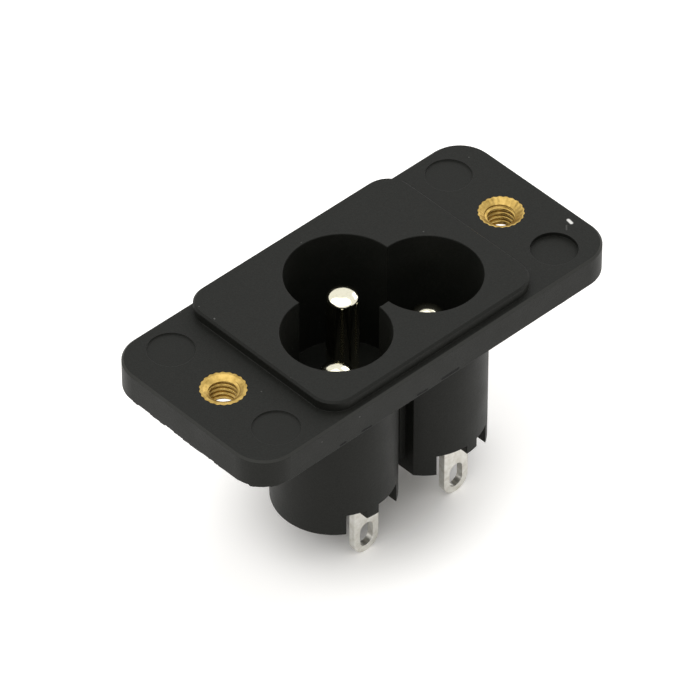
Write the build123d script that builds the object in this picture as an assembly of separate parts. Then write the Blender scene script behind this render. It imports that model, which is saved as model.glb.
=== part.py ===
"""Panel-mount appliance inlet with a cloverleaf three-pin mouth.

A flat flange with two threaded brass inserts carries a raised bezel around the
cloverleaf mouth.  Behind the flange three round barrels hang from the floor of
the mouth, one round each pin, and a solder tag riveted to each pin stands out
below the barrels' rim.

Frame: the origin is on the floor under the middle of the flange, where the part
stands on the ends of its three tags.  +Z points out of the mouth, +X runs along
the flange, and the line and neutral poles are on the -Y side.
"""

import os
from math import asin, atan2, degrees

from build123d import *

# Driving dimensions, in millimetres

# Panel flange, with one screw insert near each end
screw_pitch = 34.0
end_margin = 4.8
flange_width = 20.4
flange_thickness = 3.0
flange_corner = 3.4

# Raised bezel round the mouth, flush with the flange's +Y edge
bezel_length = 25.5
bezel_width = 19.7
bezel_height = 1.1
bezel_corner = 2.5
edge_break = 0.2

# Cloverleaf mouth: one round lobe about each pin
pole_offset = 5.6
pole_drop = 2.34
earth_rise = 2.8
pole_lobe_radius = 5.05
earth_lobe_radius = 5.37
mouth_break = 0.05
cavity_depth = 12.0
partition_thickness = 2.5

# Barrels behind the flange, with the slot between the two pole barrels
shell_depth = 18.65
barrel_shift = 0.38
well_wall = 0.41
barrel_radius = pole_lobe_radius + barrel_shift + well_wall
barrel_wall = 0.87
slot_width = 1.9
slot_floor = 4.4
web_gap = 1.65

# Notch in each barrel's rim, where a wire reaches the tag, and its small tooth
notch_width = 6.15
notch_height = 2.3
tooth_width = 1.33
tooth_drop = 1.0
tooth_offset = 0.57

# Shallow round recesses beside each screw, one of them deeper
recess_radius = 2.2
recess_depth = 0.15
deep_recess_depth = 0.42
recess_offset = 6.85

# Knurled insert with an M3 thread, drawn at the thread's minor diameter
insert_radius = 2.15
insert_length = 2.8
knurl_count = 22
knurl_depth = 0.09
thread_minor_radius = 1.25
countersink_radius = 1.8
countersink_depth = 0.42

# Round contact pins, riveted through the partition
pin_radius = 1.55
tip_dome_radius = 1.9
pole_tip_depth = 3.25
earth_tip_depth = 1.25
neck_radius = 1.0
rivet_radius = 1.6
rivet_height = 0.6

# Solder tags, bent from strip
tag_width = 2.95
tag_thickness = 0.7
tag_reach = 3.96
tag_stand = 4.5
tag_bend_radius = 0.35
eye_width = 1.6
eye_height = 2.75

# Clearances between separate pieces
insert_clearance = 0.02
neck_clearance = 0.05

# Levels above the floor that the tags stand on
rim_z = tag_stand
face_z = tag_stand + shell_depth
bezel_top_z = face_z + bezel_height
flange_rear_z = face_z - flange_thickness
floor_z = face_z - cavity_depth
ceiling_z = floor_z - partition_thickness
tag_under_z = ceiling_z - tag_thickness
notch_roof_z = rim_z + notch_height

# Places in plan
flange_length = screw_pitch + 2 * end_margin
pole_y = -pole_drop
bezel_y = (flange_width - bezel_width) / 2
line_at = Vector(-pole_offset, pole_y)
neutral_at = Vector(pole_offset, pole_y)
earth_at = Vector(0, earth_rise)
line_barrel = line_at + Vector(0, barrel_shift)
neutral_barrel = neutral_at + Vector(0, barrel_shift)
barrels = [line_barrel, neutral_barrel, earth_at]
screws = [Vector(-screw_pitch / 2, 0), Vector(screw_pitch / 2, 0)]


def prism(sketch, bottom, top):
    """The solid over a plan outline, between two levels."""
    return extrude(Pos(0, 0, bottom) * sketch, top - bottom)


def disc(centre, radius):
    """A round plan outline about a point."""
    return Pos(centre.X, centre.Y) * Circle(radius)


def break_rim(solid):
    """Take the sharpness off the edges of a solid's top face."""
    return chamfer(solid.faces().sort_by(Axis.Z)[-1].edges(), edge_break)


def flange():
    """The panel flange with the bezel standing on it."""
    plan = RectangleRounded(flange_length, flange_width, flange_corner)
    raised = Pos(0, bezel_y) * RectangleRounded(bezel_length, bezel_width, bezel_corner)
    plate = break_rim(prism(plan, flange_rear_z, face_z))
    return plate + break_rim(prism(raised, flange_rear_z, bezel_top_z))


def mouth():
    """The cloverleaf cavity: three round wells that meet, each with a broken edge."""
    wells = [(line_at, pole_lobe_radius), (neutral_at, pole_lobe_radius), (earth_at, earth_lobe_radius)]
    cavity = Part()
    for centre, radius in wells:
        cavity += prism(disc(centre, radius), floor_z, bezel_top_z)
        flare = Cone(radius, radius + mouth_break, mouth_break)
        cavity += Pos(centre.X, centre.Y, bezel_top_z - mouth_break / 2) * flare
    return cavity


def barrel_shell():
    """The three barrels as one solid, split in front by the slot between the poles."""
    shell = prism(Sketch() + [disc(centre, barrel_radius) for centre in barrels], rim_z, flange_rear_z)
    slot_length = flange_width / 2 - slot_floor
    slot = Pos(0, -slot_floor - slot_length / 2) * Rectangle(slot_width, slot_length)
    web_depth = slot_floor + pole_y + barrel_shift
    relief = Pos(0, -slot_floor + web_depth / 2) * Rectangle(slot_width, web_depth)
    shell -= prism(slot, rim_z, flange_rear_z)
    return shell - prism(relief, rim_z, rim_z + web_gap)


def wiring_recess(own, neighbours):
    """The hollow under one pin, cut back from its neighbours to leave a wall on each side."""
    bore_radius = barrel_radius - barrel_wall
    outline = disc(own, bore_radius)
    for other, gap in neighbours:
        across = other - own
        limit = across.length / 2 - gap / 2
        beyond = Pos(limit + barrel_radius, 0) * Rectangle(2 * barrel_radius, 4 * barrel_radius)
        outline -= Pos(own.X, own.Y) * Rot(0, 0, degrees(atan2(across.Y, across.X))) * beyond
    return prism(outline, rim_z, ceiling_z)


def wiring_recesses():
    """All three hollows, with a double wall where the slot runs."""
    slot_gap = slot_width + 2 * barrel_wall
    hollows = wiring_recess(line_barrel, [(neutral_barrel, slot_gap), (earth_at, barrel_wall)])
    hollows += wiring_recess(neutral_barrel, [(line_barrel, slot_gap), (earth_at, barrel_wall)])
    return hollows + wiring_recess(earth_at, [(line_barrel, barrel_wall), (neutral_barrel, barrel_wall)])


def rim_notch(barrel, outward, tooth_side):
    """The notch in one barrel's outer wall.  It leaves a tooth hanging from its roof."""
    reach = barrel_radius + barrel_wall
    notch = Pos(barrel.X, barrel.Y + outward * reach / 2) * Rectangle(notch_width, reach)
    tooth_x = barrel.X + tooth_side * tooth_offset
    tooth = Pos(tooth_x, barrel.Y + outward * reach / 2) * Rectangle(tooth_width, reach)
    return prism(notch, rim_z, notch_roof_z) - prism(tooth, notch_roof_z - tooth_drop, notch_roof_z)


def knurled(centre, clearance):
    """The insert's knurled plan outline: crests and valleys in turn, grown by a clearance."""
    points = []
    for step in range(2 * knurl_count):
        radius = insert_radius + clearance - knurl_depth * (step % 2)
        points.append(centre + Vector(radius, 0).rotate(Axis.Z, 180 * step / knurl_count))
    return make_face(Polyline(points, close=True))


def face_recesses():
    """The round recesses above and below each screw, the deeper one in the +X, -Y corner."""
    cuts = Part()
    for screw in screws:
        for side in (-1, 1):
            deep = screw.X > 0 and side < 0
            depth = deep_recess_depth if deep else recess_depth
            centre = screw + Vector(0, side * recess_offset)
            cuts += prism(disc(centre, recess_radius), face_z - depth, face_z)
    return cuts


def housing():
    """The one-piece moulding: flange, bezel, mouth, partition and barrels."""
    body = flange() + barrel_shell()
    body -= wiring_recesses()
    body -= rim_notch(line_barrel, -1, -1)
    body -= rim_notch(neutral_barrel, -1, 1)
    body -= rim_notch(earth_at, 1, 1)
    body -= mouth()
    body -= face_recesses()
    for screw in screws:
        body -= prism(knurled(screw, insert_clearance), flange_rear_z, face_z)
    for pin_at in (line_at, neutral_at, earth_at):
        body -= prism(disc(pin_at, neck_radius + neck_clearance), ceiling_z, floor_z)
    return body


def insert(screw):
    """A knurled brass bush, flush with the flange's face and countersunk at both ends."""
    bottom = face_z - insert_length
    bush = prism(knurled(screw, 0), bottom, face_z)
    bush -= prism(disc(screw, thread_minor_radius), bottom, face_z)
    sink = Cone(thread_minor_radius, countersink_radius, countersink_depth)
    bush -= Pos(screw.X, screw.Y, face_z - countersink_depth / 2) * sink
    return bush - Pos(screw.X, screw.Y, bottom + countersink_depth / 2) * Rot(180, 0, 0) * sink


def pin(pin_at, tip_depth):
    """A turned contact pin: domed shaft, neck through partition and tag, and riveted head."""
    dome_z = face_z - tip_depth - tip_dome_radius
    dome_angle = degrees(asin(pin_radius / tip_dome_radius))
    dome = CenterArc((0, dome_z), tip_dome_radius, 90 - dome_angle, dome_angle)
    head_z = tag_under_z - rivet_height
    bevel = rivet_height / 2
    turned = Polyline(
        dome @ 0,
        (pin_radius, floor_z),
        (neck_radius, floor_z),
        (neck_radius, tag_under_z),
        (rivet_radius, tag_under_z),
        (rivet_radius, head_z + bevel),
        (rivet_radius - bevel, head_z),
        (0, head_z),
        dome @ 1,
    )
    profile = Plane.XZ * make_face([dome, turned])
    return Pos(pin_at.X, pin_at.Y) * revolve(profile, Axis.Z)


def tag(pin_at, outward):
    """A solder tag: a strip bent down from under the partition, with an eye near its end."""
    half = tag_width / 2
    face_y = pin_at.Y + outward * tag_reach
    back_y = face_y - outward * tag_thickness
    heel_y = pin_at.Y - outward * half
    leg = Polyline((heel_y, tag_under_z), (back_y, tag_under_z), (back_y, 0))
    around = Polyline(
        (back_y, 0),
        (face_y, 0),
        (face_y, ceiling_z),
        (heel_y, ceiling_z),
        (heel_y, tag_under_z),
    )
    side = make_face([leg, around])
    side = fillet(nearest_corner(side, back_y, tag_under_z), tag_bend_radius)
    side = fillet(nearest_corner(side, face_y, ceiling_z), tag_bend_radius + tag_thickness)
    strip = Pos(pin_at.X - half, 0, 0) * extrude(Plane.YZ * side, tag_width, dir=(1, 0, 0))

    plan = disc(pin_at, half)
    plan += Pos(pin_at.X, pin_at.Y + outward * tag_reach / 2) * Rectangle(tag_width, tag_reach)
    strip &= prism(plan, 0, ceiling_z)
    upright = Pos(pin_at.X, half) * Circle(half)
    upright += Pos(pin_at.X, (half + ceiling_z) / 2) * Rectangle(tag_width, ceiling_z - half)
    strip &= through_y(upright, face_y, heel_y)
    slot = Rot(0, 0, 90) * SlotOverall(eye_height, eye_width)
    eye = Pos(pin_at.X, half - eye_width / 2 + eye_height / 2) * slot
    strip -= through_y(eye, face_y, back_y)
    return strip - prism(disc(pin_at, neck_radius + neck_clearance), tag_under_z, ceiling_z)


def nearest_corner(outline, across, up):
    """The corner of a flat outline that lies nearest a point."""
    return outline.vertices().sort_by_distance((across, up, 0))[0]


def through_y(outline, start, end):
    """The solid of an X-Z outline between two Y positions."""
    near, far = min(start, end), max(start, end)
    drawn = Plane.XZ * outline
    return extrude(Pos(0, near, 0) * drawn, far - near, dir=(0, 1, 0))


nodes = {
    "housing": housing(),
    "insert_left": insert(screws[0]),
    "insert_right": insert(screws[1]),
    "pin_line": pin(line_at, pole_tip_depth),
    "pin_neutral": pin(neutral_at, pole_tip_depth),
    "pin_earth": pin(earth_at, earth_tip_depth),
    "tag_line": tag(line_at, -1),
    "tag_neutral": tag(neutral_at, -1),
    "tag_earth": tag(earth_at, 1),
}

os.makedirs("parts", exist_ok=True)
for name, solid in nodes.items():
    export_step(solid, f"parts/{name}.step")
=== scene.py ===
"""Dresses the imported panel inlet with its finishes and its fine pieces.

The housing and the solder tags keep their CAD shapes and get procedural finishes.  The
brass inserts and the contact pins are worked out again as fine surfaces, with the
thread and knurl that the CAD model leaves out, and the flange gets its moulding flash.
"""

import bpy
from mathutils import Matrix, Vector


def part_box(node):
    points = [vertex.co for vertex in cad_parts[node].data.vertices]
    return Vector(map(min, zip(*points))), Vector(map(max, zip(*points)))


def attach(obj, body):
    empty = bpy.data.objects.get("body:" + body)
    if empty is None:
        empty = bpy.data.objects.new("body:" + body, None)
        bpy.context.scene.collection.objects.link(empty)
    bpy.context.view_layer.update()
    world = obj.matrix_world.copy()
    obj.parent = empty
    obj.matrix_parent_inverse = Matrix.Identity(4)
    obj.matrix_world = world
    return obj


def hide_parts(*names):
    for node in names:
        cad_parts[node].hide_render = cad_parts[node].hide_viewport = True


bl_info = {
    "name": "Panel inlet dressing",
    "version": (1, 0, 0),
    "blender": (4, 5, 0),
    "location": "View3D > Sidebar > Panel inlet",
    "description": "Finishes, threaded inserts, turned pins and moulding flash for a panel power inlet",
    "category": "Object",
}

import math

import bmesh
import bpy
import numpy as np

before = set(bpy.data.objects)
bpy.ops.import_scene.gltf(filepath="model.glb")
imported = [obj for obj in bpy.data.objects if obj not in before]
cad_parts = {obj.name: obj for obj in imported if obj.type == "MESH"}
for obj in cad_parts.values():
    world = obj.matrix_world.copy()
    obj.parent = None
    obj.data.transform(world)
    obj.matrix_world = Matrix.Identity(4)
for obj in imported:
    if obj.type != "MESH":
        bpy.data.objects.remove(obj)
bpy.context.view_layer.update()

MM = 0.001
FLANGE_TOP = 23.15 * MM
RECESS_RADIUS = 2.2 * MM


# Meshes from arrays


def skin(name, grid, around=True, along=True):
    """A mesh object over a grid of points.

    The grid has one row for each step of the first parameter and one column for each
    step of the second.  Each square of neighbours becomes a face, and a closed
    parameter joins its last step to its first.  Points that fall together, as at a
    pole, are merged, and the faces are turned outwards.
    """
    rows, columns = grid.shape[:2]
    index = np.arange(rows * columns).reshape(rows, columns)
    below = np.roll(index, -1, axis=0)
    if not around:
        index, below = index[:-1], below[:-1]
    right, below_right = np.roll(index, -1, axis=1), np.roll(below, -1, axis=1)
    faces = np.stack([index, below, below_right, right], axis=-1)
    if not along:
        faces = faces[:, :-1]
    mesh = bpy.data.meshes.new(name)
    mesh.from_pydata(grid.reshape(-1, 3).tolist(), [], faces.reshape(-1, 4).tolist())
    shaped = bmesh.new()
    shaped.from_mesh(mesh)
    bmesh.ops.remove_doubles(shaped, verts=shaped.verts, dist=1e-7)
    bmesh.ops.recalc_face_normals(shaped, faces=shaped.faces)
    shaped.to_mesh(mesh)
    shaped.free()
    mesh.shade_smooth()
    mesh.update()
    piece = bpy.data.objects.new(name, mesh)
    bpy.context.scene.collection.objects.link(piece)
    return piece


def arc(centre, radius, start, end, steps):
    """Points of an arc in a flat section, from one angle in degrees to another."""
    turn = np.radians(np.linspace(start, end, steps))
    return np.stack([centre[0] + radius * np.cos(turn), centre[1] + radius * np.sin(turn)], axis=1)


def revolve(name, section, centre, steps):
    """A turned piece: each (radius, height) of the section goes once round an upright axis."""
    turn = np.linspace(0, 2 * np.pi, steps, endpoint=False)[:, None]
    radius, height = section[:, 0][None, :], section[:, 1][None, :]
    grid = np.stack([
        centre[0] + radius * np.cos(turn),
        centre[1] + radius * np.sin(turn),
        np.broadcast_to(height, (steps, len(section))),
    ], axis=-1)
    return skin(name, grid, around=True, along=False)


def threaded_bush(name, centre, top, sizes, sink_radius, sink_depth, rear, facet, phase_at):
    """A knurled bush with a helical thread in its bore.

    At a turn t and a height h the thread's phase is h / pitch - t / one turn, plus the
    phase at the start.  The bore's radius is a trapezoid wave of it with smoothed flanks:
    the major radius on the groove's floor, the minor radius on the crest.  Where a
    countersink's cone is wider than that, the bore takes the cone, which falls in a
    straight line from the countersink's radius at the end to the minor radius at its
    depth, and at the rear slopes at 45 degrees.  The outside's radius is the crests', less
    the knurl's depth times 1 - |cos(knurls / 2 times t)| to the power 1.6, which is 0 on
    each crest and 1 between crests.  The same groove, as deep as facet, runs down the
    front cone.
    """
    steps_per_knurl, levels_per_pitch = 12, 22
    groove_half, flank = 0.12, 0.25
    steps = steps_per_knurl * sizes.knurls
    turn = np.linspace(0, 2 * np.pi, steps, endpoint=False)[:, None]
    bottom = top - sizes.length
    height = np.linspace(bottom, top, int(round(sizes.length / sizes.pitch * levels_per_pitch)))[None, :]
    phase = (height / sizes.pitch - turn / (2 * np.pi) + phase_at) % 1.0
    wave = np.clip((np.abs(phase - 0.5) - groove_half) / flank, 0, 1)
    wave = wave * wave * (3 - 2 * wave)
    minor, major = sizes.minor_radius, sizes.minor_radius + sizes.thread_depth
    bore = major - (major - minor) * wave
    groove = 1 - np.abs(np.cos(turn * sizes.knurls / 2)) ** 1.6
    rise = sink_radius - minor - facet * groove
    front = minor + rise * (1 - (top - height) / sink_depth)
    bore = np.maximum(np.maximum(bore, front), minor + rear - (height - bottom))

    rim = sizes.radius - sizes.knurl_depth * groove
    soften = sizes.edge
    rounding = np.array([0, 0.3, 1.0]) * soften
    out_height = np.concatenate([top - rounding, bottom + rounding[::-1]])
    out_radius = rim - np.concatenate([rounding[::-1], rounding])[None, :]
    land = np.linspace(0, 1, 6)[None, 1:-1]
    lip = bore[:, -1:] * (1 - land) + out_radius[:, :1] * land
    foot = out_radius[:, -1:] * (1 - land) + bore[:, :1] * land

    radius = np.concatenate([bore, lip, out_radius, foot], axis=1)
    levels = np.concatenate([height[0], np.full(4, top), out_height, np.full(4, bottom)])
    grid = np.stack([
        centre[0] + radius * np.cos(turn),
        centre[1] + radius * np.sin(turn),
        np.broadcast_to(levels[None, :], radius.shape),
    ], axis=-1)
    return skin(name, grid)


def rounded_rectangle(length, width, corner, steps):
    """Points along a rounded rectangle, their outward directions and the distance run.

    Four quarter circles are joined by straight runs and sampled at even steps of length.
    """
    corners = [(1, 1, 0), (-1, 1, 90), (-1, -1, 180), (1, -1, 270)]
    parts, ways = [], []
    for side_x, side_y, start in corners:
        middle = (side_x * (length / 2 - corner), side_y * (width / 2 - corner))
        bend = arc(middle, corner, start, start + 90, 24)
        parts.append(bend)
        ways.append((bend - np.array(middle)) / corner)
    dense = np.concatenate(parts + [parts[0][:1]])
    dense_way = np.concatenate(ways + [ways[0][:1]])
    run = np.concatenate([[0], np.cumsum(np.linalg.norm(np.diff(dense, axis=0), axis=1))])
    at = np.linspace(0, run[-1], steps, endpoint=False)
    points = np.stack([np.interp(at, run, dense[:, axis]) for axis in (0, 1)], axis=1)
    way = np.stack([np.interp(at, run, dense_way[:, axis]) for axis in (0, 1)], axis=1)
    return points, way / np.linalg.norm(way, axis=1)[:, None], at


def ragged(at, seed, size):
    """A ragged profile along a run, from 0 to 1, made of scraps.

    Each scrap is 0.35 to 1.65 times size long, slopes from a random height to 0.3 to 1.0
    of it, and meets the next one in a steep step.
    """
    chance = np.random.default_rng(seed)
    count = int(at[-1] / size) + 2
    starts = np.cumsum(chance.uniform(0.35, 1.65, count)) * size
    heights = np.repeat(chance.uniform(0, 1, count), 2)
    heights[1::2] *= chance.uniform(0.3, 1.0, count)
    knots = np.stack([starts[:-1] + 0.06 * size, starts[1:] - 0.06 * size], axis=1).ravel()
    return np.interp(at, knots, heights[:-2])


def ribbon(name, points, way, level, drop, thick):
    """A thin fin under an edge: its section is a wedge that hangs from the edge by drop.

    The section's corners are the edge, the fin's tip a little inwards, and the way back
    up inside the edge; the drop changes from point to point along the run.
    """
    inward = -way[:, None, :]
    offset = np.array([0.0, 0.15, 0.6, 1.0, 1.0])[None, :, None] * thick
    fall = np.array([0.0, 1.0, 1.0, 0.3, 0.0])[None, :] * drop[:, None]
    lift = np.array([0.06, 0.0, 0.0, 0.0, 0.06])[None, :] * MM
    flat = points[:, None, :] + inward * offset
    grid = np.concatenate([flat, (level + lift - fall)[:, :, None]], axis=-1)
    return skin(name, grid)


def shade_by_angle(piece, degrees):
    """Smooth shading that breaks at edges sharper than an angle."""
    piece.data.set_sharp_from_angle(angle=math.radians(degrees))


# Finishes


class Signal:
    """A number or colour that varies over a surface; sums on it add Math nodes."""

    def __init__(self, paint, socket):
        self.paint = paint
        self.socket = socket

    def combine(self, operation, first, second):
        return self.paint.node("ShaderNodeMath", {"operation": operation}, {0: first, 1: second})

    def __add__(self, other):
        return self.combine("ADD", self, other)

    def __radd__(self, other):
        return self.combine("ADD", other, self)

    def __sub__(self, other):
        return self.combine("SUBTRACT", self, other)

    def __rsub__(self, other):
        return self.combine("SUBTRACT", other, self)

    def __mul__(self, other):
        return self.combine("MULTIPLY", self, other)

    def __rmul__(self, other):
        return self.combine("MULTIPLY", other, self)

    def __gt__(self, other):
        return self.combine("GREATER_THAN", self, other)

    def step(self, low, high):
        """0 below low, 1 above high, and a smooth rise between."""
        sockets = {"Value": self, "From Min": low, "From Max": high}
        return self.paint.node("ShaderNodeMapRange", {"interpolation_type": "SMOOTHSTEP"}, sockets)

    def band(self, low, full, fading, high):
        """1 between full and fading, and 0 below low and above high."""
        return self.step(low, full) * (1 - self.step(fading, high))


class Paint:
    """The node tree of one material or of the world, filled node by node."""

    def __init__(self, owner):
        owner.use_nodes = True
        self.owner = owner
        self.tree = owner.node_tree
        self.tree.nodes.clear()

    def node(self, kind, settings=None, inputs=None, output=0):
        """Add a node: its settings first, then values or links for its sockets."""
        made = self.tree.nodes.new(kind)
        for key, value in (settings or {}).items():
            setattr(made, key, value)
        for key, value in (inputs or {}).items():
            if isinstance(value, Signal):
                self.tree.links.new(value.socket, made.inputs[key])
            else:
                made.inputs[key].default_value = value
        return Signal(self, made.outputs[output]) if made.outputs else made

    def where(self):
        """The place on the object, in metres."""
        return self.node("ShaderNodeTexCoord", output="Object")

    def upright(self, vector):
        """The vertical part of a place or direction."""
        return self.node("ShaderNodeSeparateXYZ", {}, {0: vector}, 2)

    def noise(self, place, size, detail=2.0, roughness=0.5):
        """Soft noise, 0 to 1, whose lumps are about size metres wide."""
        sockets = {"Vector": place, "Scale": 1 / size, "Detail": detail, "Roughness": roughness}
        return self.node("ShaderNodeTexNoise", {}, sockets)

    def blend(self, factor, first, second):
        """A colour between two others."""
        made = self.tree.nodes.new("ShaderNodeMix")
        made.data_type = "RGBA"
        for key, value in ((0, factor), (6, first), (7, second)):
            if isinstance(value, Signal):
                self.tree.links.new(value.socket, made.inputs[key])
            else:
                made.inputs[key].default_value = value
        return Signal(self, made.outputs[2])

    def bump(self, height, distance, normal=None):
        """A normal tilted by a height, on top of another normal where one is given."""
        sockets = {"Height": height, "Distance": distance, "Strength": 1.0}
        if normal is not None:
            sockets["Normal"] = normal
        return self.node("ShaderNodeBump", {}, sockets)

    def stroke(self, place, start, end, reach):
        """1 on the straight line between two places, in millimetres, fading to 0 at reach from it."""
        start, end = np.array(start) * MM, np.array(end) * MM
        run = end - start
        vector = "ShaderNodeVectorMath"
        away = self.node(vector, {"operation": "SUBTRACT"}, {0: place, 1: start})
        share = self.node(vector, {"operation": "DOT_PRODUCT"}, {0: away, 1: run / (run @ run)}, "Value")
        share = self.node("ShaderNodeMapRange", {}, {"Value": share})
        nearest = self.node(vector, {"operation": "SCALE"}, {0: run, "Scale": share})
        gap = self.node(vector, {"operation": "DISTANCE"}, {0: away, 1: nearest}, "Value")
        return 1 - gap.step(0.4 * reach * MM, reach * MM)

    def seen(self):
        """1 for what the camera sees, also in a mirror or through glass, and 0 for light on a surface."""
        kinds = ("Camera", "Glossy", "Transmission")
        camera, mirror, glass = [self.node("ShaderNodeLightPath", output=f"Is {kind} Ray") for kind in kinds]
        return camera + mirror + glass > 0.5

    def principled(self, inputs):
        """Finish with a Principled surface."""
        surface = self.node("ShaderNodeBsdfPrincipled", {}, inputs)
        self.node("ShaderNodeOutputMaterial", {}, {"Surface": surface})
        return self.owner


def rgba(colour):
    """A colour property as a socket takes it."""
    return (*colour[:3], 1.0)


# Lines on the moulding in millimetres: the ends of each and its reach, and for nicks and painted highlights a
# strength
# Painted shadow: dark lines in the slits above the flash
PAINTED_SLIT_SHADOWS = [
    ((-12.45, -10.2, 20.36), (-11.85, -10.2, 20.36), 0.15),
    ((-9.8, -10.2, 20.36), (-8.75, -10.2, 20.28), 0.15),
    ((-3.1, -10.2, 20.4), (-1.95, -10.2, 20.32), 0.15),
    ((-0.05, -10.2, 20.4), (1.85, -10.2, 20.4), 0.2),
]
NICKS_AND_HIGHLIGHTS = [
    ((20.64, -4.98, 23.15), (20.56, -5.44, 23.15), 0.22, 1.0),
    ((20.0, -5.38, 23.15), (19.6, -5.8, 23.15), 0.1, 0.06),
    # Painted highlight: a faint light line along the bezel's foot on its left side
    ((-12.76, 7.4, 23.21), (-12.76, -6.9, 23.21), 0.07, 0.03),
    ((-12.3, 6.28, 24.25), (-12.28, 6.33, 24.25), 0.1, 0.12),
    ((-10.17, -10.2, 22.3), (-10.12, -10.2, 22.3), 0.08, 0.1),
]
# The middles of the shallow recesses' floors, in millimetres, round which the walls get painted light
SHALLOW_RECESSES = [(-17.0, -6.85, 23.07), (-17.0, 6.85, 23.07), (17.0, 6.85, 23.07)]


def moulded_plastic(sizes):
    """Matt black moulding: grain, soft edges, faint mottling, specks and nicks, with painted highlights on
    the flange's edges, round the shallow recesses and along the bezel's foot.

    Painted shadow fills the slits above the flash: the near-black colour with Metallic at 1, so that it
    reflects nothing.
    """
    paint = Paint(bpy.data.materials.new("moulded_black_plastic"))
    place = paint.where()
    grain = paint.noise(place, sizes.grain, 3.0, 0.6)
    pits = paint.noise(place, sizes.grain * 3.2, 2.0, 0.5)
    mottle = paint.noise(place, sizes.mottle, 3.0, 0.55)
    spread = {"Vector": place, "Scale": 1 / sizes.speck_gap}
    cells = paint.node("ShaderNodeTexVoronoi", {}, spread, "Distance")
    chosen = paint.noise(place, sizes.speck_patch, 1.0)
    speck = (1 - cells.step(0.03, 0.06)) * chosen.step(0.58, 0.62)
    shade = grain.step(0.3, 0.7) * 0.6 + mottle * 0.4
    colour = paint.blend(shade, rgba(sizes.dark), rgba(sizes.light))
    colour = paint.blend(speck * 0.4, colour, rgba(sizes.speck))
    soft = paint.node("ShaderNodeBevel", {"samples": 6}, {"Radius": sizes.edge})
    upward = paint.upright(soft)
    below_bezel = 1 - paint.upright(place).step(FLANGE_TOP + 0.15 * MM, FLANGE_TOP + 0.35 * MM)
    # Painted highlight: the flange's rounded edges below the bezel, where the softened normal faces partly
    # up, are made paler
    painted_highlight = upward.band(0.25, 0.6, 0.82, 0.96) * below_bezel
    # Painted light: the wall of each shallow recess is made paler in a ring
    inner, outer = RECESS_RADIUS - 0.15 * MM, RECESS_RADIUS + 0.15 * MM
    fade = 0.1 * MM
    for centre in SHALLOW_RECESSES:
        ends = {0: place, 1: np.array(centre) * MM}
        far = paint.node("ShaderNodeVectorMath", {"operation": "DISTANCE"}, ends, "Value")
        ring = far.band(inner, inner + fade, outer - fade, outer)
        painted_highlight = painted_highlight + 0.6 * ring * (1 - upward.step(0.8, 0.95))
    colour = paint.blend(painted_highlight.step(0.0, 1.0), colour, rgba(sizes.painted_highlight))
    # Painted shadow in the slits above the flash, metallic so that it reflects nothing
    painted_slit_shadow = sum(paint.stroke(place, *line) for line in PAINTED_SLIT_SHADOWS).step(0.0, 0.6)
    colour = paint.blend(painted_slit_shadow, colour, rgba(sizes.painted_slit_shadow))
    # Real nicks, and a painted highlight line along the bezel's foot
    for start, end, reach, strength in NICKS_AND_HIGHLIGHTS:
        colour = paint.blend(paint.stroke(place, start, end, reach) * strength, colour, rgba(sizes.nick_and_highlight))
    normal = paint.bump(grain * 0.6 + pits * 0.4, sizes.grain_depth, soft)
    return paint.principled({
        "Base Color": colour,
        "Metallic": painted_slit_shadow,
        "Roughness": sizes.roughness + sizes.unevenness * mottle,
        "Specular IOR Level": sizes.sheen,
        "Normal": normal,
    })


def turned_brass(sizes):
    """Machined brass: a finely uneven surface with patches of tarnish, rougher where it has dulled."""
    paint = Paint(bpy.data.materials.new("turned_brass"))
    place = paint.where()
    tarnish = paint.noise(place, 0.5 * MM, 3.0, 0.6)
    fine = paint.noise(place, 0.05 * MM, 2.0)
    colour = paint.blend(tarnish.step(0.35, 0.75), rgba(sizes.colour), rgba(sizes.tarnish))
    return paint.principled({
        "Base Color": colour,
        "Metallic": 1.0,
        "Roughness": sizes.roughness + sizes.unevenness * tarnish,
        "Normal": paint.bump(fine, sizes.relief),
    })


def nickel_plate(sizes):
    """Bright plate over a turned pin: faint rings from the lathe and small handling marks."""
    paint = Paint(bpy.data.materials.new("bright_nickel_plate"))
    place = paint.where()
    rings = paint.node("ShaderNodeMapping", {}, {"Vector": place, "Scale": (0.02, 0.02, 1.0)})
    lathe = paint.noise(rings, 0.06 * MM, 2.0)
    marks = paint.noise(place, 0.35 * MM, 4.0, 0.65)
    colour = paint.blend(marks.step(0.45, 0.8), rgba(sizes.colour), rgba(sizes.stain))
    return paint.principled({
        "Base Color": colour,
        "Metallic": 1.0,
        "Roughness": sizes.roughness + sizes.unevenness * marks,
        "Normal": paint.bump(lathe * 0.5 + marks * 0.5, sizes.relief),
    })


def tin_plate(sizes):
    """Satin tin plate on stamped strip: clouded patches, fine scratches, soft edges."""
    paint = Paint(bpy.data.materials.new("satin_tin_plate"))
    place = paint.where()
    cloud = paint.noise(place, 0.7 * MM, 4.0, 0.6)
    along = paint.node("ShaderNodeMapping", {}, {"Vector": place, "Scale": (1.0, 1.0, 0.12)})
    scratch = paint.noise(along, 0.06 * MM, 3.0, 0.6)
    colour = paint.blend(cloud.step(0.3, 0.75), rgba(sizes.colour), rgba(sizes.stain))
    soft = paint.node("ShaderNodeBevel", {"samples": 6}, {"Radius": sizes.edge})
    return paint.principled({
        "Base Color": colour,
        "Metallic": 1.0,
        "Roughness": sizes.roughness + sizes.unevenness * cloud,
        "Normal": paint.bump(scratch * 0.5 + cloud * 0.5, sizes.relief, soft),
    })


def wear(piece, material):
    """Give a piece its finish in every material slot."""
    if not piece.material_slots:
        piece.data.materials.append(material)
    for held in piece.material_slots:
        held.material = material


# Sizes and colours


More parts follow.
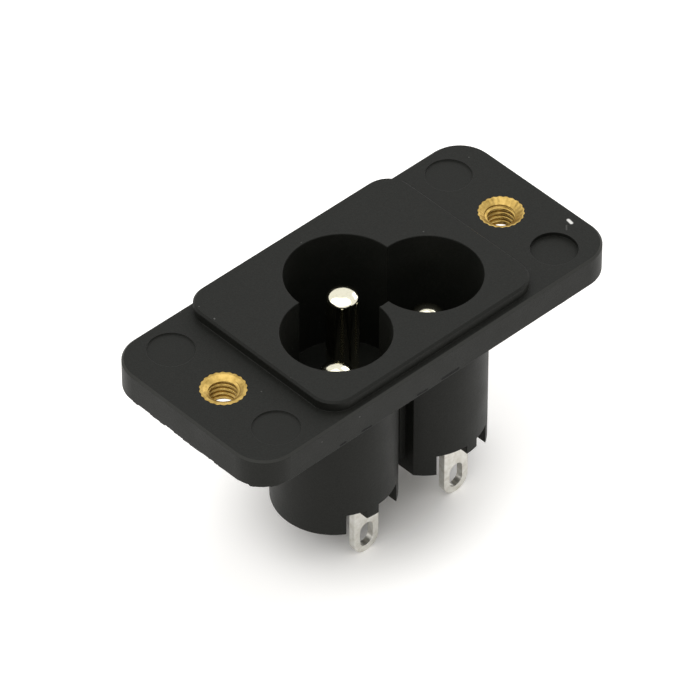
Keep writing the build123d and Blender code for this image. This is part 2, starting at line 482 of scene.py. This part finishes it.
def length_field(label, text, default):
    """A length in metres, typed in millimetres."""
    return bpy.props.FloatProperty(
        name=label, description=text, default=default * MM, min=0, precision=5,
        subtype="DISTANCE", unit="LENGTH",
    )


def number_field(label, text, default, **limits):
    """A plain number, with any limits and subtype that it has."""
    return bpy.props.FloatProperty(name=label, description=text, default=default, **limits)


def colour_field(label, text, default):
    """A colour that a user can change."""
    return bpy.props.FloatVectorProperty(
        name=label, description=text, default=default, min=0, max=1, size=3, subtype="COLOR"
    )


class HousingSizes(bpy.types.PropertyGroup):
    """The moulding's finish."""

    dark: colour_field("Dark", "Plastic colour in the low places", (0.0042, 0.0046, 0.0034))
    light: colour_field("Light", "Plastic colour on the high places", (0.0135, 0.014, 0.0118))
    speck: colour_field("Speck", "Dust specks and light marks", (0.16, 0.16, 0.15))
    # Painted highlight: the paler colour on the flange's edges and round the shallow recesses
    painted_highlight: colour_field("Rubbed", "Plastic on edges that have been rubbed", (0.034, 0.0345, 0.031))
    # Painted shadow: the colour that fills the slits above the flash
    painted_slit_shadow: colour_field("Slit", "Plastic in the slits above the flash", (0.001, 0.001, 0.001))
    # Also paints the faint highlight line along the bezel's foot
    nick_and_highlight: colour_field("Nick", "Bared plastic in a nick or scratch", (0.8, 0.79, 0.76))
    sheen: number_field("Sheen", "Specular level of the plastic", 0.16, min=0, max=1, subtype="FACTOR")
    roughness: number_field("Roughness", "Roughness at its least", 0.42, min=0, max=1, subtype="FACTOR")
    unevenness: number_field(
        "Unevenness", "How much rougher its patches are", 0.16, min=0, max=1, subtype="FACTOR"
    )
    mottle: length_field("Mottle", "Width of the faint mottling's patches", 2.6)
    speck_gap: length_field("Speck gap", "Usual distance between specks", 1.5)
    speck_patch: length_field("Speck patch", "Width of the patches that have specks", 1.1)
    grain: length_field("Grain", "Width of the moulded texture's grains", 0.11)
    grain_depth: length_field("Grain depth", "Height of the moulded texture", 0.022)
    edge: length_field("Edge softness", "Radius that edges appear to have", 0.06)


class InsertSizes(bpy.types.PropertyGroup):
    """The threaded inserts."""

    colour: colour_field("Brass", "Clean brass", (0.48, 0.33, 0.1))
    tarnish: colour_field("Tarnish", "Brass where it has dulled", (0.32, 0.21, 0.055))
    roughness: number_field("Roughness", "Roughness at its least", 0.32, min=0, max=1, subtype="FACTOR")
    unevenness: number_field(
        "Unevenness", "How much rougher its patches are", 0.16, min=0, max=1, subtype="FACTOR"
    )
    relief: length_field("Relief", "Height of the fine marks", 0.004)
    radius: length_field("Radius", "Radius over the knurl's crests", 2.15)
    length: length_field("Length", "Length of the insert", 2.8)
    knurls: bpy.props.IntProperty(name="Knurls", description="Crests round the insert", default=22, min=8)
    knurl_depth: length_field("Knurl depth", "Depth of a knurl's valley", 0.09)
    minor_radius: length_field("Minor radius", "Radius inside the thread's crests", 1.25)
    thread_depth: length_field("Thread depth", "Depth of the thread", 0.25)
    pitch: length_field("Pitch", "Thread pitch", 0.5)
    phase: number_field("Phase", "Turns by which the left thread is wound on", 0.46, subtype="FACTOR")
    right_phase: number_field(
        "Right phase", "Turns by which the right thread is wound on", 0.45, subtype="FACTOR"
    )
    sink_radius: length_field("Countersink", "Radius of the left insert's countersink", 1.8)
    sink_depth: length_field("Countersink depth", "Depth of the left insert's countersink", 0.34)
    rear: length_field("Rear", "Width and depth of the left insert's rear chamfer", 0.34)
    facet: length_field("Facet", "Depth of the knurl's marks in the left countersink", 0.01)
    right_sink_radius: length_field("Right countersink", "Radius of the right insert's countersink", 2.02)
    right_sink_depth: length_field("Right countersink depth", "Depth of the right insert's countersink", 0.58)
    right_rear: length_field("Right rear", "Width and depth of the right insert's rear chamfer", 0.15)
    right_facet: length_field("Right facet", "Depth of the knurl's marks in the right countersink", 0.07)
    edge: length_field("Edge", "Rounding of the outer edges", 0.03)


class PinSizes(bpy.types.PropertyGroup):
    """The contact pins."""

    colour: colour_field("Plate", "Clean plate", (0.855, 0.82, 0.66))
    stain: colour_field("Stain", "Plate in its marks", (0.74, 0.7, 0.54))
    roughness: number_field("Roughness", "Roughness at its least", 0.06, min=0, max=1, subtype="FACTOR")
    unevenness: number_field(
        "Unevenness", "How much rougher its patches are", 0.08, min=0, max=1, subtype="FACTOR"
    )
    relief: length_field("Relief", "Height of the fine marks", 0.004)
    radius: length_field("Radius", "Radius of the shaft", 1.55)
    dome: length_field("Dome", "Height of the domed tip", 0.8)
    pole_fullness: number_field(
        "Pole fullness", "2 for an elliptical dome on the pole pins, more for a flatter one", 1.95, min=1
    )
    earth_fullness: number_field(
        "Earth fullness", "2 for an elliptical dome on the earth pin, more for a flatter one", 3.2, min=1
    )
    floor: length_field("Floor", "Height of the mouth's floor, where the shaft ends", 11.15)
    neck_radius: length_field("Neck radius", "Radius of the neck in the partition", 1.0)
    rivet_radius: length_field("Rivet radius", "Radius of the riveted head", 1.6)
    rivet_height: length_field("Rivet height", "Height of the riveted head", 0.6)


class TagSizes(bpy.types.PropertyGroup):
    """The solder tags' finish."""

    colour: colour_field("Plate", "Clean plate", (0.74, 0.73, 0.69))
    stain: colour_field("Cloud", "Plate in its clouded patches", (0.58, 0.56, 0.5))
    roughness: number_field("Roughness", "Roughness at its least", 0.33, min=0, max=1, subtype="FACTOR")
    unevenness: number_field(
        "Unevenness", "How much rougher its patches are", 0.14, min=0, max=1, subtype="FACTOR"
    )
    relief: length_field("Relief", "Height of the fine marks", 0.006)
    edge: length_field("Edge softness", "Radius that the stamped edges appear to have", 0.07)


class FlashSizes(bpy.types.PropertyGroup):
    """The thin flash along the flange's rear edge."""

    level: length_field("Level", "Height of the flange's rear edge", 20.15)
    corner: length_field("Corner", "Radius of the flange's corners", 3.4)
    least: length_field("Least", "Height of the flash where it is faintest", 0.012)
    most: length_field("Most", "Height of its highest scraps", 0.24)
    thick: length_field("Thickness", "Thickness of the flash", 0.1)
    scrap: length_field("Scrap", "Usual length of one scrap", 0.6)
    inset: length_field("Inset", "How far it stays inside the flange's outline", 0.01)
    seed: bpy.props.IntProperty(name="Seed", description="Seed of the ragged outline", default=7)


class StageSizes(bpy.types.PropertyGroup):
    """Floor, lamps, world and camera."""

    floor: colour_field("Floor", "Colour of the floor", (0.94, 0.925, 0.9))
    glow: length_field("Glow", "Distance from the middle at which the floor is at its whitest", 16.0)
    lift: number_field("Lift", "Emission that whitens the floor there", 0.46, min=0)
    world: number_field("World", "Light from all round", 0.4, min=0)
    lens: number_field("Lens", "Focal length", 337.98, min=1, subtype="DISTANCE_CAMERA")
    eye: bpy.props.FloatVectorProperty(
        name="Eye", description="Where the camera stands",
        default=(-0.29620, -0.31365, 0.41941), subtype="XYZ",
    )
    tilt: bpy.props.FloatVectorProperty(
        name="Turn", description="How the camera is turned",
        default=(math.radians(90 - 43.016), 0.0, math.radians(-43.193)), subtype="EULER", unit="ROTATION",
    )


GROUPS = {
    "inlet_housing": HousingSizes,
    "inlet_inserts": InsertSizes,
    "inlet_pins": PinSizes,
    "inlet_tags": TagSizes,
    "inlet_flash": FlashSizes,
    "inlet_stage": StageSizes,
}


# Operators, one for each group of like pieces


class PaintHousing(bpy.types.Operator):
    """Give the moulded housing its matt black plastic"""

    bl_idname = "inlet.paint_housing"
    bl_label = "Housing"

    def execute(self, context):
        wear(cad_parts["housing"], moulded_plastic(context.scene.inlet_housing))
        return {"FINISHED"}


class MakeInserts(bpy.types.Operator):
    """Cut the two brass inserts with their knurl and thread"""

    bl_idname = "inlet.make_inserts"
    bl_label = "Inserts"

    def execute(self, context):
        sizes = context.scene.inlet_inserts
        brass = turned_brass(sizes)
        sinks = {
            "insert_left": (sizes.sink_radius, sizes.sink_depth, sizes.rear, sizes.facet, sizes.phase),
            "insert_right": (
                sizes.right_sink_radius, sizes.right_sink_depth, sizes.right_rear, sizes.right_facet,
                sizes.right_phase,
            ),
        }
        for node, sink in sinks.items():
            low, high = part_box(node)
            centre = ((low[0] + high[0]) / 2, (low[1] + high[1]) / 2)
            piece = threaded_bush(node.replace("insert", "threaded_insert"), centre, high[2], sizes, *sink)
            wear(piece, brass)
            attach(piece, "root")
            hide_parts(node)
        return {"FINISHED"}


class TurnPins(bpy.types.Operator):
    """Turn the three contact pins with their domed tips and riveted heads

    A dome's section is a superellipse: the sine and cosine of an angle, each to the power
    of 2 over the fullness, times the pin's radius and the dome's height.
    """

    bl_idname = "inlet.turn_pins"
    bl_label = "Pins"

    def execute(self, context):
        sizes = context.scene.inlet_pins
        plate = nickel_plate(sizes)
        for node in ("pin_line", "pin_neutral", "pin_earth"):
            low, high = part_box(node)
            centre = ((low[0] + high[0]) / 2, (low[1] + high[1]) / 2)
            fullness = sizes.earth_fullness if node == "pin_earth" else sizes.pole_fullness
            quarter = np.clip(arc((0, 0), 1.0, 90, 0, 40), 0, 1)
            dome = quarter ** (2 / fullness) * (sizes.radius, sizes.dome) + (0, high[2] - sizes.dome)
            rivet_z = low[2] + sizes.rivet_height
            round_off = sizes.rivet_height / 2
            shaft = [(sizes.radius, sizes.floor), (sizes.neck_radius, sizes.floor)]
            head = [(sizes.neck_radius, rivet_z), (sizes.rivet_radius, rivet_z)]
            section = np.concatenate([
                dome,
                np.array(shaft + head),
                arc((sizes.rivet_radius - round_off, low[2] + round_off), round_off, 0, -90, 8),
                np.array([(0, low[2])]),
            ])
            piece = revolve(node.replace("pin", "contact"), section, centre, 96)
            shade_by_angle(piece, 32)
            wear(piece, plate)
            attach(piece, "root")
            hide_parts(node)
        return {"FINISHED"}


class PlateTags(bpy.types.Operator):
    """Give the solder tags their satin plate"""

    bl_idname = "inlet.plate_tags"
    bl_label = "Tags"

    def execute(self, context):
        plate = tin_plate(context.scene.inlet_tags)
        for node in ("tag_line", "tag_neutral", "tag_earth"):
            wear(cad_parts[node], plate)
        return {"FINISHED"}


class GrowFlash(bpy.types.Operator):
    """Leave thin moulding flash along the flange's rear edge"""

    bl_idname = "inlet.grow_flash"
    bl_label = "Flash"

    def execute(self, context):
        sizes = context.scene.inlet_flash
        low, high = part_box("housing")
        length, width = high[0] - low[0] - 2 * sizes.inset, high[1] - low[1] - 2 * sizes.inset
        steps = 2400
        points, way, at = rounded_rectangle(length, width, sizes.corner - sizes.inset, steps)
        # The left end has the most flash; elsewhere it comes and goes in patches
        left = np.clip(-1.5 * way[:, 0], 0, 1)
        patches = 0.8 * left + (0.15 + 0.35 * (1 - left)) * ragged(at, sizes.seed + 1, 6 * sizes.scrap)
        drop = sizes.least + (sizes.most - sizes.least) * patches * ragged(at, sizes.seed, sizes.scrap)
        piece = ribbon("flange_flash", points, way, sizes.level, drop, sizes.thick)
        shade_by_angle(piece, 30)
        wear(piece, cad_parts["housing"].material_slots[0].material)
        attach(piece, "root")
        return {"FINISHED"}


# Each lamp's place in metres, the side of its square in metres and its power in watts
LAMPS = {
    "top_softbox": ((-0.12, 0.02, 0.6), 0.95, 3.6),
    "side_softbox": ((0.6, 0.1, 0.35), 0.4, 0.9),
}


def aim_at_middle(place):
    """The turn that points a lamp at the origin: its pitch from the drop, its heading from the plan."""
    x, y, z = place
    return (math.pi / 2 + math.atan2(-z, math.hypot(x, y)), 0.0, math.atan2(x, -y))


class SetStage(bpy.types.Operator):
    """Lay the pale floor, hang the lamps and set the camera"""

    bl_idname = "inlet.set_stage"
    bl_label = "Stage"

    def execute(self, context):
        scene = context.scene
        sizes = scene.inlet_stage
        scene.view_settings.view_transform = "Standard"

        reach = 3.0
        near, far = [[(x, y, 0) for x in (-reach, reach)] for y in (-reach, reach)]
        floor = skin("floor", np.array([near, far]), around=False, along=False)
        if floor.data.polygons[0].normal.z < 0:
            floor.data.flip_normals()
        paint = Paint(bpy.data.materials.new("pale_floor"))
        finish = {"Base Color": rgba(sizes.floor), "Roughness": 0.8}
        paper = paint.node("ShaderNodeBsdfPrincipled", {}, finish)
        away = paint.node("ShaderNodeVectorMath", {"operation": "LENGTH"}, {0: paint.where()}, "Value")
        light = {"Color": (1.0, 0.995, 0.985, 1.0), "Strength": sizes.lift}
        glow = paint.node("ShaderNodeEmission", {}, light)
        bare = paint.node("ShaderNodeEmission", {}, {"Strength": 0.0})
        # Painted light: the floor glows for the camera and in reflections, not at all near the middle and
        # fully from the glow distance out, which leaves the floor round the object darker
        seen = paint.seen() * away.step(0.25 * sizes.glow, sizes.glow)
        glow = paint.node("ShaderNodeMixShader", {}, {0: seen, 1: bare, 2: glow})
        both = paint.node("ShaderNodeAddShader", {}, {0: paper, 1: glow})
        paint.node("ShaderNodeOutputMaterial", {}, {"Surface": both})
        wear(floor, paint.owner)

        world = bpy.data.worlds.new("studio")
        scene.world = world
        paint = Paint(world)
        strength = sizes.world + (1.0 - sizes.world) * paint.seen()
        sky = {"Color": (1.0, 0.998, 0.99, 1.0), "Strength": strength}
        back = paint.node("ShaderNodeBackground", {}, sky)
        paint.node("ShaderNodeOutputWorld", {}, {"Surface": back})

        for name, (place, side, power) in LAMPS.items():
            light = bpy.data.lights.new(name, "AREA")
            light.shape, light.size, light.energy = "SQUARE", side, power
            lamp = bpy.data.objects.new(name, light)
            lamp.location = place
            lamp.rotation_euler = aim_at_middle(place)
            scene.collection.objects.link(lamp)

        lens = bpy.data.cameras.new("view")
        lens.lens, lens.sensor_width, lens.clip_start = sizes.lens, 36.0, 0.01
        camera = bpy.data.objects.new("view", lens)
        camera.location, camera.rotation_euler = sizes.eye, sizes.tilt
        scene.collection.objects.link(camera)
        scene.camera = camera
        return {"FINISHED"}


OPERATORS = [PaintHousing, MakeInserts, TurnPins, PlateTags, GrowFlash, SetStage]


class InletPanel(bpy.types.Panel):
    """Sizes and steps of the panel inlet's dressing."""

    bl_idname = "VIEW3D_PT_panel_inlet"
    bl_label = "Panel inlet"
    bl_space_type = "VIEW_3D"
    bl_region_type = "UI"
    bl_category = "Panel inlet"

    def draw(self, context):
        for step, (field, group) in zip(OPERATORS, GROUPS.items()):
            box = self.layout.box()
            for key in group.__annotations__:
                box.prop(getattr(context.scene, field), key)
            box.operator(step.bl_idname)


CLASSES = [*GROUPS.values(), *OPERATORS, InletPanel]


def register():
    for made in CLASSES:
        bpy.utils.register_class(made)
    for field, group in GROUPS.items():
        setattr(bpy.types.Scene, field, bpy.props.PointerProperty(type=group))


def unregister():
    for field in GROUPS:
        delattr(bpy.types.Scene, field)
    for made in reversed(CLASSES):
        bpy.utils.unregister_class(made)


def main():
    """Register the add-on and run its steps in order."""
    register()
    for step in OPERATORS:
        group, action = step.bl_idname.split(".")
        getattr(getattr(bpy.ops, group), action)()


if __name__ == "__main__":
    main()
